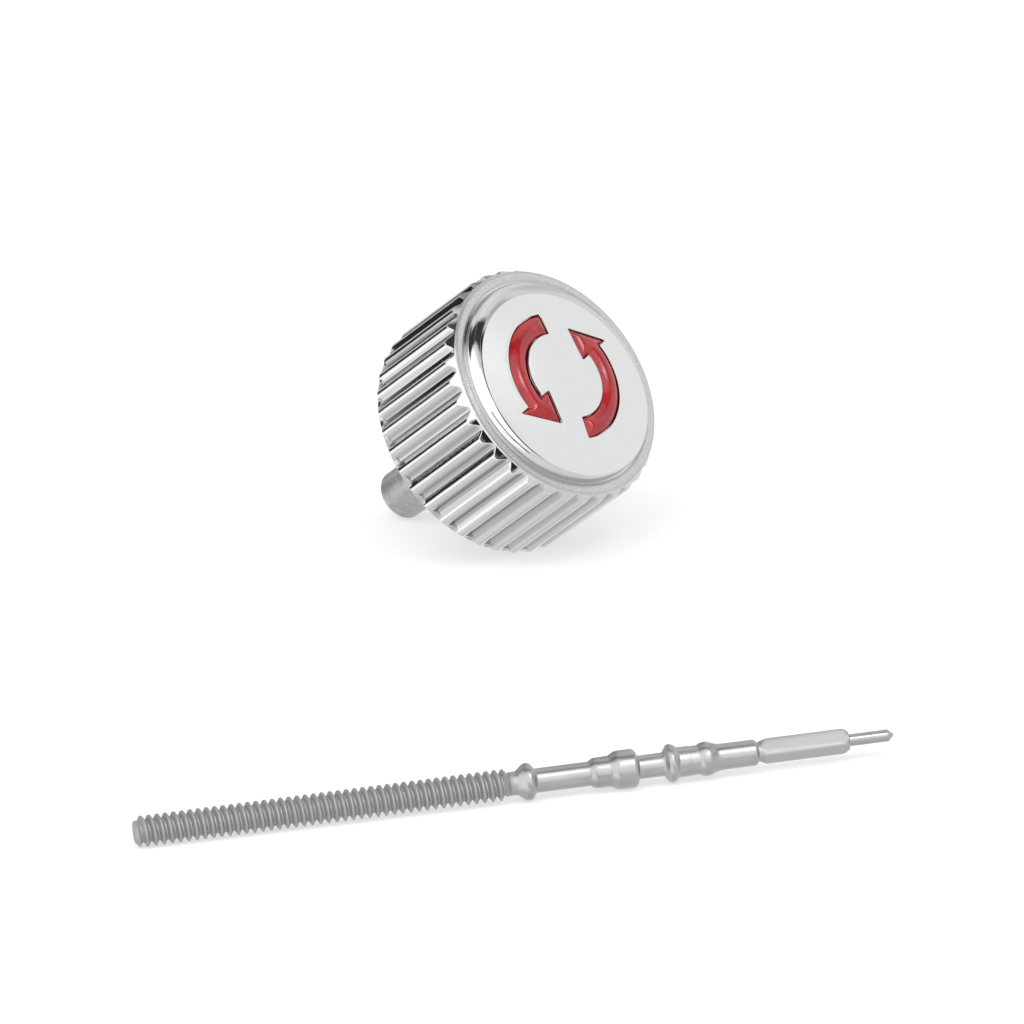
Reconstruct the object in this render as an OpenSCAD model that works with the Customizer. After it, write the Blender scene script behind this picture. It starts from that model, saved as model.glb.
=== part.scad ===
// Watch crown with a sprung stem post, and the winding stem that screws into it.
// Lengths are in millimetres. The crown leans on its post and its rear rim, the stem lies in front.
// Crown pieces are drawn upright: z = 0 is the skirt's rear face and z grows toward the engraved face.

/* [Fluted cap] */
// radius over the rib crests
cap_r = 3.6; // [3.4:0.05:3.9]
// height of the crests, from the rear face to the front chamfer
skirt_h = 3.32; // [3.2:0.02:3.6]
// number of flutes around the cap
flute_count = 36; // [30:1:40]
// depth of a flute below the crests
flute_depth = 0.14; // [0.12:0.01:0.14]
// opening angle of a flute
flute_angle = 111; // [100:1:120]
// width of the flat bottom of a flute
flute_root_w = 0.1; // [0.06:0.01:0.14]
// thickness of the web that closes the flutes at the rear
web_t = 0.15; // [0.1:0.01:0.25]
// how far the web and the rear ends of the ribs stand in from the crests
web_inset = 0.1; // [0.05:0.01:0.12]

/* [Face] */
// width of the front chamfer across the crests
chamfer_w = 0.15; // [0.12:0.01:0.18]
// length of the front chamfer along the axis
chamfer_h = 0.23; // [0.18:0.01:0.3]
// radius of the round bead at the rim of the face
bead_r = 0.16; // [0.12:0.01:0.18]
// height of the cushion-shaped face above the bottom of the moat beside it
face_rise = 0.55; // [0.45:0.01:0.65]
// radius of the face's shallow dome
dome_r = 20; // [15:1:40]
// radius of the face's rounded shoulder
shoulder_r = 0.42; // [0.3:0.01:0.45]
// width of the narrow moat between shoulder and bead
moat_w = 0.06; // [0.04:0.01:0.1]

/* [Enamel arrows] */
// radius of the circle that the two arrows follow
arrow_circle_r = 1.6; // [1.4:0.05:1.7]
// width of an arrow's curved band
arrow_band_w = 0.62; // [0.5:0.02:0.7]
// width of an arrow's head
arrow_head_w = 1.3; // [1.1:0.02:1.4]
// angle that the curved band covers
arrow_sweep = 114; // [90:1:120]
// angle that the head covers
arrow_head_sweep = 36; // [30:1:40]
// angle of the first arrow's tail
arrow_start = -12; // [-30:1:30]
// depth of the recess below the top of the face
recess_depth = 0.3; // [0.25:0.01:0.34]
// how far the enamel stands above the face
enamel_proud = 0.03; // [0.01:0.01:0.05]

/* [Inside the cap] */
// thickness of the face over the core tube
face_t = 0.68; // [0.6:0.02:0.8]
// depth of the seat that the core tube is pressed into
tube_seat = 0.12; // [0.1:0.01:0.2]
// radius of the cap's bore around the threaded sleeve
sleeve_r = 2.85; // [2.7:0.05:2.95]
// radius inside the thread of the sleeve
sleeve_bore_r = 2.4; // [2.3:0.05:2.5]
// how far the sleeve stands in from the rear face
sleeve_inset = 0.3; // [0.2:0.05:0.5]
// thickness of the flat gasket at the end of the bore
gasket_t = 0.24; // [0.2:0.02:0.3]
// thickness of the steel washer under the gasket
gasket_washer_t = 0.08; // [0.06:0.01:0.12]
// radial room around gasket and washer
gasket_room = 0.05; // [0.03:0.01:0.08]

/* [Core tube] */
// outer radius of the core tube
tube_r = 1.5; // [1.4:0.02:1.6]
// how far the tube's end stands in from the rear face
tube_inset = 0.12; // [0.05:0.01:0.2]
// width across the flats of the tube's hexagonal bore
hex_w = 1.9; // [1.8:0.02:1.92]
// wire radius of the sealing ring on the tube
seal_r = 0.18; // [0.16:0.01:0.2]
// depth of the sealing ring's groove
seal_groove_depth = 0.2; // [0.16:0.01:0.22]
// height of the middle of the sealing ring
seal_z = 1.4; // [1.2:0.05:1.8]
// side room of the sealing ring in its groove
seal_room = 0.02; // [0.01:0.01:0.04]
// outer radius of the bush pressed into the tube's end
bush_r = 1.18; // [1.14:0.01:1.2]
// length of the bush
bush_h = 0.38; // [0.3:0.02:0.5]

/* [Stem post] */
// outer radius of the post
post_r = 0.72; // [0.68:0.01:0.76]
// how far the post stands out behind the rear face
post_out = 3.76; // [3.4:0.02:4]
// radial running clearance of the post in its bush
post_clearance = 0.03; // [0.02:0.005:0.05]
// clearance of the post's hexagonal head to each flat of the bore
hex_clearance = 0.03; // [0.02:0.005:0.05]
// height of the post's hexagonal head
post_head_h = 0.38; // [0.3:0.02:0.45]
// radius of the boss on the post's head
boss_r = 0.42; // [0.36:0.02:0.46]
// height of the boss above the thrust washer
boss_h = 0.1; // [0.05:0.01:0.15]
// radius of the tapped hole for the stem
tap_r = 0.38; // [0.35:0.01:0.4]
// depth of the tapped hole
tap_depth = 3.2; // [2.8:0.1:3.5]
// countersink at the mouth of the tapped hole
tap_sink = 0.08; // [0.05:0.01:0.12]

/* [Thrust washer and spring] */
// thickness of the thrust washer
washer_t = 0.12; // [0.1:0.01:0.15]
// outer radius of the thrust washer
washer_r = 0.88; // [0.84:0.01:0.9]
// radial room of the washer around the boss
washer_room = 0.05; // [0.03:0.01:0.08]
// radius of the spring's wire
wire_r = 0.08; // [0.06:0.005:0.09]
// radius of the coil, at the middle of the wire
coil_r = 0.72; // [0.68:0.01:0.76]
// number of turns of the spring
coil_turns = 4; // [3.5:0.5:4.5]

/* [Winding stem] */
// length of the stem
stem_l = 20.86; // [20:0.1:22]
// outer radius of the stem's thread
thread_r = 0.43; // [0.41:0.01:0.44]
// length of the thread
thread_l = 10.25; // [9:0.25:10.5]
// chamfer at the end of the thread
thread_chamfer = 0.12; // [0.08:0.01:0.16]
// radius of the relief behind the thread
relief_r = 0.32; // [0.29:0.01:0.34]
// length of the relief
relief_l = 0.24; // [0.2:0.02:0.3]
// radius of the rounded collar after the thread
bulb_r = 0.51; // [0.48:0.01:0.52]
// length of the rounded collar
bulb_l = 0.44; // [0.4:0.02:0.5]
// radius of the plain shank
shank_r = 0.33; // [0.31:0.01:0.35]
// length of the plain shank
shank_l = 1.57; // [1.4:0.05:1.7]
// radius of the low step of the middle collar
step_r = 0.42; // [0.4:0.01:0.44]
// length of the low step
step_l = 0.58; // [0.5:0.02:0.7]
// radius of the tall collar and of the flange
collar_r = 0.53; // [0.5:0.01:0.54]
// length of the tall collar
collar_l = 0.69; // [0.6:0.02:0.8]
// radius of the neck after the collar
neck_r = 0.32; // [0.3:0.01:0.34]
// length of the neck
neck_l = 0.78; // [0.7:0.02:0.9]
// length of the flange beside the setting-lever slot
flange_l = 0.33; // [0.28:0.01:0.4]
// radius at the bottom of the setting-lever slot
slot_r = 0.395; // [0.37:0.005:0.41]
// length of the setting-lever slot
slot_l = 0.58; // [0.5:0.02:0.65]
// radius of the shoulder on the slot's other side
bulge_r = 0.47; // [0.45:0.01:0.49]
// length of that shoulder, with its taper
bulge_l = 0.44; // [0.4:0.02:0.5]
// radius of the journal that the square is cut on
journal_r = 0.355; // [0.34:0.005:0.37]
// length of the journal
journal_l = 1.24; // [1.1:0.05:1.4]
// width across the flats of the square drive
square_w = 0.53; // [0.5:0.01:0.55]
// length of the square drive
square_l = 2.47; // [2.2:0.05:2.7]
// turn of the square about the stem
square_turn = 40; // [0:5:45]
// radius of the pilot at the tip
pilot_r = 0.165; // [0.15:0.005:0.18]
// length of the conical tip
tip_l = 0.22; // [0.15:0.01:0.3]

/* [Layout] */
// sideways place of the crown
crown_x = 3.7; // [3:0.1:5]
// distance from the stem to the crown's rear face, square to the stem
spread = 21.56; // [20:0.1:23]
// direction that the crown faces, seen from above
crown_heading = -51.4; // [-60:0.1:-45]

/* [Hidden] */
$fn = 96;

steel = [0.78, 0.79, 0.8];
satin_steel = [0.66, 0.67, 0.69];
enamel_red = [0.66, 0.15, 0.16];
seal_black = [0.08, 0.08, 0.09];
spring_steel = [0.6, 0.61, 0.64];

// face profile
rib_z = skirt_h;
web_r = cap_r - web_inset;
ring_r = cap_r - chamfer_w;
ring_z = skirt_h + chamfer_h;
bead_drop = 0.05;
bead_x = ring_r - sqrt(bead_r * bead_r - bead_drop * bead_drop);
bead_z = ring_z - bead_drop;
cushion_r = bead_x - (ring_r - bead_x) - moat_w;
face_z = ring_z + face_rise;
dome_z = face_z - dome_r;
shoulder_x = cushion_r - shoulder_r;
shoulder_reach = dome_r - shoulder_r;
shoulder_crossing = 0.02;
shoulder_z = dome_z + sqrt(shoulder_reach * shoulder_reach - shoulder_x * shoulder_x) + shoulder_crossing;

// flute profile
flute_half = flute_angle / 2;
root_x = cap_r - flute_depth;
flank_run = flute_depth + 0.3;

// levels inside, from the face down to the post
seat_z = face_z - face_t;
ceiling_z = seat_z - tube_seat;
gasket_z = ceiling_z - gasket_t;
gasket_washer_z = gasket_z - gasket_washer_t;
bush_top = tube_inset + bush_h;
head_top = bush_top + post_head_h;
washer_top = head_top + washer_t;
recess_z = face_z - recess_depth;

// place of the crown: it leans on the crest's rear corner and on the post's end
lean = atan((cap_r - post_r) / (post_out + web_inset));
crown_z = cap_r * cos(lean) - web_inset * sin(lean);
axis_y = cos(lean) * sin(crown_heading);
crown_back = -post_out * axis_y + post_r * sqrt(1 - axis_y * axis_y);

// stations along the stem, from the thread's end
bulb_x = thread_l + relief_l;
shank_x = bulb_x + bulb_l;
step_x = shank_x + shank_l;
collar_x = step_x + step_l;
neck_x = collar_x + collar_l;
flange_x = neck_x + neck_l;
slot_x = flange_x + flange_l;
bulge_x = slot_x + slot_l;
journal_x = bulge_x + bulge_l;
square_x = journal_x + journal_l;
pilot_x = square_x + square_l;

// place of the stem: it lies on the thread's crests and on the tall collar
stem_lean = atan((collar_r - thread_r) / collar_x);
stem_y = (collar_r - spread - crown_back) / 2;

module on_crown() {
    translate([crown_x, stem_y + spread, crown_z])
        rotate([0, 90 - lean, crown_heading])
            children();
}

module on_stem() {
    translate([-stem_l / 2, stem_y, thread_r])
        rotate([0, 90 - stem_lean, 0])
            children();
}

module tube(r_out, r_in, h) {
    difference() {
        cylinder(r = r_out, h = h);
        translate([0, 0, -1]) cylinder(r = r_in, h = h + 2);
    }
}

module hexagon_bar(w, h) {
    cylinder(r = w / sqrt(3), h = h, $fn = 6);
}

// one flute seen along the axis, an open V with a narrow flat bottom
module flute_outline() {
    root_y = flute_root_w / 2;
    mouth_y = root_y + flank_run * tan(flute_half);
    polygon([
        [root_x, -root_y], [root_x + flank_run, -mouth_y], [root_x + flank_run, mouth_y], [root_x, root_y]
    ]);
}

module flutes() {
    for (i = [0 : flute_count - 1])
        rotate([0, 0, (i + 0.5) * 360 / flute_count])
            translate([0, 0, web_t])
                linear_extrude(height = face_z) flute_outline();
}

// ribs stand proud of the web at the rear, so the web's rim is turned down between them
module web_notches() {
    for (i = [0 : flute_count - 1])
        rotate([0, 0, (i + 0.5) * 360 / flute_count])
            difference() {
                translate([0, 0, -1]) linear_extrude(height = web_t + 1.01) flute_outline();
                translate([0, 0, -2]) cylinder(r = web_r, h = web_t + 3);
            }
}

// half section of the solid cap, from the axis outward
module cap_section() {
    polygon([
        [0, 0], [web_r, 0], [cap_r, web_inset], [cap_r, rib_z], [ring_r, ring_z], [0, ring_z]
    ]);
    translate([bead_x, bead_z]) circle(r = bead_r);
    translate([0, ring_z - 1]) square([shoulder_x, shoulder_z + shoulder_r - ring_z + 1.2]);
    translate([shoulder_x, shoulder_z]) circle(r = shoulder_r);
}

// ball that the face's shallow dome is part of
module dome_ball(lift) {
    translate([0, 0, dome_z + lift]) rotate([90, 0, 0]) sphere(r = dome_r, $fn = 720);
}

module arrow_outline() {
    r_in = arrow_circle_r - arrow_band_w / 2;
    r_out = arrow_circle_r + arrow_band_w / 2;
    far = 2 * r_out;
    tip = arrow_sweep + arrow_head_sweep;
    into_head = arrow_sweep + 2;
    intersection() {
        difference() {
            circle(r = r_out);
            circle(r = r_in);
        }
        polygon([
            [0, 0], [far, 0],
            [far * cos(arrow_sweep / 2), far * sin(arrow_sweep / 2)],
            [far * cos(into_head), far * sin(into_head)]
        ]);
    }
    polygon([
        [(arrow_circle_r - arrow_head_w / 2) * cos(arrow_sweep), (arrow_circle_r - arrow_head_w / 2) * sin(arrow_sweep)],
        [(arrow_circle_r + arrow_head_w / 2) * cos(arrow_sweep), (arrow_circle_r + arrow_head_w / 2) * sin(arrow_sweep)],
        [arrow_circle_r * cos(tip), arrow_circle_r * sin(tip)]
    ]);
}

module arrow_bar(turn, h) {
    rotate([0, 0, arrow_start + turn])
        translate([0, 0, recess_z])
            linear_extrude(height = h) arrow_outline();
}

module fluted_cap() {
    color(steel) on_crown() difference() {
        intersection() {
            rotate_extrude() cap_section();
            dome_ball(0);
        }
        flutes();
        web_notches();
        translate([0, 0, -1]) cylinder(r = sleeve_r, h = ceiling_z + 1);
        translate([0, 0, -0.01]) cylinder(r1 = sleeve_r + 0.13, r2 = sleeve_r, h = 0.13);
        cylinder(r = tube_r, h = seat_z);
        arrow_bar(0, 1);
        arrow_bar(180, 1);
    }
}

module enamel_arrow(turn) {
    color(enamel_red) on_crown() intersection() {
        arrow_bar(turn, 1);
        dome_ball(enamel_proud);
    }
}

module enamel_arrow_upper() {
    enamel_arrow(0);
}

module enamel_arrow_lower() {
    enamel_arrow(180);
}

module threaded_sleeve() {
    color(satin_steel) on_crown() translate([0, 0, sleeve_inset]) difference() {
        cylinder(r = sleeve_r, h = gasket_washer_z - sleeve_inset);
        translate([0, 0, -1]) cylinder(r = sleeve_bore_r, h = ceiling_z + 2);
        translate([0, 0, -0.01]) cylinder(r1 = sleeve_bore_r + 0.16, r2 = sleeve_bore_r, h = 0.16);
    }
}

module core_tube() {
    color(satin_steel) on_crown() difference() {
        translate([0, 0, tube_inset]) cylinder(r = tube_r, h = seat_z - tube_inset);
        translate([0, 0, tube_inset - 1]) cylinder(r = bush_r, h = bush_h + 1);
        translate([0, 0, bush_top - 0.01]) hexagon_bar(hex_w, seat_z);
        translate([0, 0, seal_z - seal_r - seal_room])
            tube(tube_r + 1, tube_r - seal_groove_depth, 2 * (seal_r + seal_room));
    }
}

module tube_seal_ring() {
    color(seal_black) on_crown() translate([0, 0, seal_z])
        rotate_extrude()
            translate([tube_r - seal_groove_depth + seal_r, 0]) circle(r = seal_r);
}

module flat_gasket() {
    color(seal_black) on_crown() translate([0, 0, gasket_z])
        tube(sleeve_r - gasket_room, tube_r + gasket_room, gasket_t);
}

module gasket_washer() {
    color(spring_steel) on_crown() translate([0, 0, gasket_washer_z])
        tube(sleeve_r - gasket_room, tube_r + gasket_room, gasket_washer_t);
}

module retaining_bush() {
    color(satin_steel) on_crown() translate([0, 0, tube_inset])
        tube(bush_r, post_r + post_clearance, bush_h);
}

// the coil: flat for half a turn at each end, and rising evenly between
coil_steps = 28;
wire_sides = 8;
coil_z0 = washer_top + wire_r;
coil_z1 = seat_z - wire_r;
coil_count = round(coil_turns * coil_steps);
function coil_rise(t) = min(1, max(0, (t * coil_turns - 0.5) / (coil_turns - 1)));
function coil_z(t) = coil_z0 + (coil_z1 - coil_z0) * coil_rise(t);
function wire_point(i, j) =
    let (turn = 360 * coil_turns * i / coil_count,
         side = 360 * j / wire_sides,
         r = coil_r + wire_r * cos(side))
    [r * cos(turn), r * sin(turn), coil_z(i / coil_count) + wire_r * sin(side)];

module return_spring() {
    ring = wire_sides;
    points = [for (i = [0 : coil_count]) for (j = [0 : ring - 1]) wire_point(i, j)];
    sides = [
        for (i = [0 : coil_count - 1]) for (j = [0 : ring - 1])
            [i * ring + j, (i + 1) * ring + j, (i + 1) * ring + (j + 1) % ring, i * ring + (j + 1) % ring]
    ];
    first = [for (j = [0 : ring - 1]) j];
    last = [for (j = [ring - 1 : -1 : 0]) coil_count * ring + j];
    color(spring_steel) on_crown() polyhedron(points = points, faces = concat([first], [last], sides));
}

module thrust_washer() {
    color(spring_steel) on_crown() translate([0, 0, head_top])
        tube(washer_r, boss_r + washer_room, washer_t);
}

module stem_post() {
    color(satin_steel) on_crown() difference() {
        union() {
            translate([0, 0, -post_out]) cylinder(r = post_r, h = post_out + bush_top + 0.01);
            translate([0, 0, bush_top]) hexagon_bar(hex_w - 2 * hex_clearance, post_head_h);
            translate([0, 0, head_top - 0.01]) cylinder(r = boss_r, h = washer_t + boss_h + 0.01);
        }
        translate([0, 0, -post_out - 1]) cylinder(r = tap_r, h = tap_depth + 1);
        translate([0, 0, -post_out - 0.01]) cylinder(r1 = tap_r + tap_sink, r2 = tap_r, h = tap_sink);
    }
}

// a turned length of the stem, with an optional taper
module turned(x, l, r1, r2) {
    translate([0, 0, x]) cylinder(r1 = r1, r2 = r2, h = l);
}

module winding_stem() {
    round_r = bulb_l / 2;
    edge = 0.06;
    color(satin_steel) on_stem() union() {
        turned(0, thread_chamfer, thread_r - thread_chamfer, thread_r);
        turned(thread_chamfer, thread_l - thread_chamfer, thread_r, thread_r);
        turned(thread_l - 0.01, relief_l + 0.02, relief_r, relief_r);
        translate([0, 0, bulb_x + round_r]) rotate_extrude() {
            translate([bulb_r - round_r, 0]) circle(r = round_r);
            translate([0, -round_r]) square([bulb_r - round_r, bulb_l]);
        }
        turned(shank_x - 0.01, shank_l + 0.02, shank_r, shank_r);
        turned(step_x, edge, step_r - edge, step_r);
        turned(step_x + edge, step_l - edge + 0.01, step_r, step_r);
        turned(collar_x, edge, collar_r - edge, collar_r);
        turned(collar_x + edge, collar_l - 2 * edge, collar_r, collar_r);
        turned(collar_x + collar_l - edge, edge, collar_r, collar_r - edge);
        turned(neck_x - 0.01, neck_l + 0.02, neck_r, neck_r);
        turned(flange_x, edge, collar_r - edge, collar_r);
        turned(flange_x + edge, flange_l - 2 * edge, collar_r, collar_r);
        turned(slot_x - edge, edge, collar_r, collar_r - edge);
        turned(slot_x - 0.01, slot_l + 0.02, slot_r, slot_r);
        turned(bulge_x, bulge_l / 2, bulge_r, bulge_r);
        turned(bulge_x + bulge_l / 2, bulge_l / 2, bulge_r, journal_r);
        turned(journal_x - 0.01, journal_l - edge + 0.01, journal_r, journal_r);
        turned(square_x - edge, edge, journal_r, journal_r - edge);
        intersection() {
            rotate([0, 0, square_turn])
                translate([-square_w / 2, -square_w / 2, square_x - 0.01])
                    cube([square_w, square_w, square_l + 0.01]);
            union() {
                turned(square_x - 0.02, square_l - 2 * edge + 0.02, journal_r, journal_r);
                turned(pilot_x - 2 * edge, 2 * edge, journal_r, journal_r - 2 * edge);
            }
        }
        turned(pilot_x - 0.01, stem_l - pilot_x - tip_l + 0.01, pilot_r, pilot_r);
        turned(stem_l - tip_l, tip_l, pilot_r, 0.04);
    }
}

fluted_cap();
enamel_arrow_upper();
enamel_arrow_lower();
threaded_sleeve();
core_tube();
tube_seal_ring();
flat_gasket();
gasket_washer();
retaining_bush();
return_spring();
thrust_washer();
stem_post();
winding_stem();
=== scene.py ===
"""A fluted watch crown with its sprung stem post, and the winding stem that screws into it.

Lengths are in millimetres until a piece is placed; the row frame is in metres.
Crown pieces are made upright: z = 0 is the skirt's rear face and z grows toward the polished face.
The winding stem is made along z, from its threaded end to its pilot.
"""
from math import atan, cos, hypot, inf, pi, radians, sin, sqrt, tan

import bmesh
import bpy
from mathutils import Matrix, Vector
from mathutils.geometry import delaunay_2d_cdt


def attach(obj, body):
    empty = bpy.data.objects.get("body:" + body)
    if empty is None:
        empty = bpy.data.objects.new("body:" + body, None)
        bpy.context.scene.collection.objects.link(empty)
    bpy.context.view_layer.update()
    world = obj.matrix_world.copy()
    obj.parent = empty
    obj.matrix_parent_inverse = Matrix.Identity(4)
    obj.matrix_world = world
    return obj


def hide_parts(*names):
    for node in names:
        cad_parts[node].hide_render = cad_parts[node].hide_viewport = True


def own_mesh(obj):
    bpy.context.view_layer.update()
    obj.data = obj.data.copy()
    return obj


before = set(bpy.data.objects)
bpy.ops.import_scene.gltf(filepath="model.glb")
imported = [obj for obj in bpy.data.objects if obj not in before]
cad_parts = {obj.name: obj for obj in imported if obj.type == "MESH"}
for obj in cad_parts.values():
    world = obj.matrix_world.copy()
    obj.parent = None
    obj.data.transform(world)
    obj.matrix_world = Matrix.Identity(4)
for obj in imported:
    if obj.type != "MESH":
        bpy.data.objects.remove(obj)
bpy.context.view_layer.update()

MM = 0.001
# points closer than this are joined
WELD = 0.0004

# Sizes that part.scad gives the same names to
CAP_R = 3.6
SKIRT_H = 3.32
FLUTE_COUNT = 36
WEB_T = 0.15
WEB_INSET = 0.1
CHAMFER_W = 0.15
CHAMFER_H = 0.23
FACE_RISE = 0.55
DOME_R = 20.0
ARROW_CIRCLE_R = 1.6
ARROW_BAND_W = 0.62
ARROW_HEAD_W = 1.3
ARROW_SWEEP = radians(114)
ARROW_HEAD_SWEEP = radians(36)
ARROW_START = radians(-12)
RECESS_DEPTH = 0.3
FACE_T = 0.68
TUBE_SEAT = 0.12
SLEEVE_R = 2.85
SLEEVE_BORE_R = 2.4
SLEEVE_INSET = 0.3
GASKET_T = 0.24
GASKET_WASHER_T = 0.08
GASKET_ROOM = 0.05
TUBE_R = 1.5
TUBE_INSET = 0.12
HEX_W = 1.9
SEAL_R = 0.18
SEAL_GROOVE_DEPTH = 0.2
SEAL_Z = 1.4
SEAL_ROOM = 0.02
BUSH_R = 1.18
BUSH_H = 0.38
POST_R = 0.72
POST_OUT = 3.76
POST_CLEARANCE = 0.03
HEX_CLEARANCE = 0.03
POST_HEAD_H = 0.38
BOSS_R = 0.42
BOSS_H = 0.1
TAP_R = 0.38
TAP_DEPTH = 3.2
TAP_SINK = 0.08
WASHER_T = 0.12
WASHER_R = 0.88
WASHER_ROOM = 0.05
COIL_R = 0.72
WIRE_R = 0.08
COIL_TURNS = 4
STEM_L = 20.86
THREAD_R = 0.43
THREAD_L = 10.25
RELIEF_R = 0.32
RELIEF_L = 0.24
BULB_R = 0.51
BULB_L = 0.44
SHANK_R = 0.33
SHANK_L = 1.57
STEP_R = 0.42
STEP_L = 0.58
COLLAR_R = 0.53
COLLAR_L = 0.69
NECK_R = 0.32
NECK_L = 0.78
FLANGE_L = 0.33
SLOT_R = 0.395
SLOT_L = 0.58
BULGE_R = 0.47
BULGE_L = 0.44
JOURNAL_R = 0.355
JOURNAL_L = 1.24
SQUARE_W = 0.53
SQUARE_L = 2.47
SQUARE_TURN = radians(40)
PILOT_R = 0.165
SPREAD = 21.56
CROWN_X = 3.7
CROWN_HEADING = radians(-51.4)

# Sizes that part.scad has no names for
CREST_HALF_W = 0.145
CREST_TILT = radians(46)
FLANK_TILT = radians(38)
ROOT_HALF_W = 0.04
RING_RISE = 0.045
FOOT_R = 3.09
SHOULDER_TOP_TILT = radians(13)
SHOULDER_FOOT_TILT = radians(84)
SHOULDER_STEPS = 28
FACE_EDGE_R = 2.813
FACE_SHIFT = (0.21, -0.028)
FACE_OVAL = (-0.012, 0.034)
MOUTH_W = 0.034
REAR_R = 3.2
REAR_SEAM_R = 3.1
# columns of the skirt to one column of the ring, the cushion and the bore
COARSE = 4
HEX_TURN = pi / 6
SLEEVE_PITCH = 0.35
SLEEVE_THREAD_H = 0.19
STEM_PITCH = 0.225
THREAD_ROOT_R = 0.302
TAP_THREAD_H = 0.06

# Radii and levels of the crown
RING_R = CAP_R - CHAMFER_W
RING_Z = SKIRT_H + CHAMFER_H
FOOT_Z = RING_Z + 0.012
FACE_Z = RING_Z + FACE_RISE
DOME_Z = FACE_Z - DOME_R
RECESS_Z = FACE_Z - RECESS_DEPTH
SEAT_Z = FACE_Z - FACE_T
CEILING_Z = SEAT_Z - TUBE_SEAT
GASKET_Z = CEILING_Z - GASKET_T
GASKET_WASHER_Z = GASKET_Z - GASKET_WASHER_T
GROOVE_R = TUBE_R - SEAL_GROOVE_DEPTH
BUSH_TOP = TUBE_INSET + BUSH_H
HEAD_TOP = BUSH_TOP + POST_HEAD_H
WASHER_TOP = HEAD_TOP + WASHER_T

# Levels along the winding stem, from its threaded end
BULB_Z = THREAD_L + RELIEF_L
SHANK_Z = BULB_Z + BULB_L
STEP_Z = SHANK_Z + SHANK_L
COLLAR_Z = STEP_Z + STEP_L
NECK_Z = COLLAR_Z + COLLAR_L
FLANGE_Z = NECK_Z + NECK_L
SLOT_Z = FLANGE_Z + FLANGE_L
BULGE_Z = SLOT_Z + SLOT_L
JOURNAL_Z = BULGE_Z + BULGE_L
SQUARE_Z = JOURNAL_Z + JOURNAL_L
PILOT_Z = SQUARE_Z + SQUARE_L

# Places of the crown and of the stem, as part.scad works them out
LEAN = atan((CAP_R - POST_R) / (POST_OUT + WEB_INSET))
CROWN_Z = CAP_R * cos(LEAN) - WEB_INSET * sin(LEAN)
AXIS_Y = cos(LEAN) * sin(CROWN_HEADING)
CROWN_BACK = -POST_OUT * AXIS_Y + POST_R * sqrt(1 - AXIS_Y**2)
STEM_LEAN = atan((COLLAR_R - THREAD_R) / COLLAR_Z)
STEM_Y = (COLLAR_R - SPREAD - CROWN_BACK) / 2
TO_ROW = Matrix.Scale(MM, 4)
ON_CROWN = (
    TO_ROW
    @ Matrix.Translation((CROWN_X, STEM_Y + SPREAD, CROWN_Z))
    @ Matrix.Rotation(CROWN_HEADING, 4, "Z")
    @ Matrix.Rotation(pi / 2 - LEAN, 4, "Y")
)
ON_STEM = (
    TO_ROW
    @ Matrix.Translation((-STEM_L / 2, STEM_Y, THREAD_R))
    @ Matrix.Rotation(pi / 2 - STEM_LEAN, 4, "Y")
)


# Shader nodes

class Graph:
    """Adds nodes to a node tree with few words."""

    def __init__(self, tree):
        self.tree = tree
        tree.nodes.clear()

    def put(self, socket, value):
        """Links a socket to another one or sets its value."""
        if isinstance(value, bpy.types.NodeSocket):
            self.tree.links.new(value, socket)
        else:
            socket.default_value = value

    def node(self, kind, inputs=None, **settings):
        """Adds a shader node with its settings and inputs."""
        made = self.tree.nodes.new("ShaderNode" + kind)
        for name, value in settings.items():
            setattr(made, name, value)
        for name, value in (inputs or {}).items():
            self.put(made.inputs[name], value)
        return made

    def maths(self, operation, *values):
        made = self.node("Math", operation=operation)
        for socket, value in zip(made.inputs, values):
            self.put(socket, value)
        return made.outputs[0]

    def times(self, first, second):
        return self.maths("MULTIPLY", first, second)

    def ramp(self, value, low, high, out_low=0.0, out_high=1.0):
        """A smooth step from out_low to out_high while the value goes from low to high."""
        limits = {"From Min": low, "From Max": high, "To Min": out_low, "To Max": out_high}
        made = self.node("MapRange", {"Value": value, **limits}, interpolation_type="SMOOTHSTEP")
        return made.outputs[0]

    def blend(self, share, first, second):
        """A colour between two others."""
        made = self.node("Mix", data_type="RGBA")
        self.put(made.inputs[0], share)
        self.put(made.inputs[6], first)
        self.put(made.inputs[7], second)
        return made.outputs[2]

    def mix(self, share, first, second):
        """A number between two others."""
        made = self.node("Mix", data_type="FLOAT")
        self.put(made.inputs[0], share)
        self.put(made.inputs[2], first)
        self.put(made.inputs[3], second)
        return made.outputs[0]

    def noise(self, vector, scale, detail=3.0, roughness=0.55):
        made = self.node(
            "TexNoise", {"Vector": vector, "Scale": scale, "Detail": detail, "Roughness": roughness}
        )
        return made.outputs[0]


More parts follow.
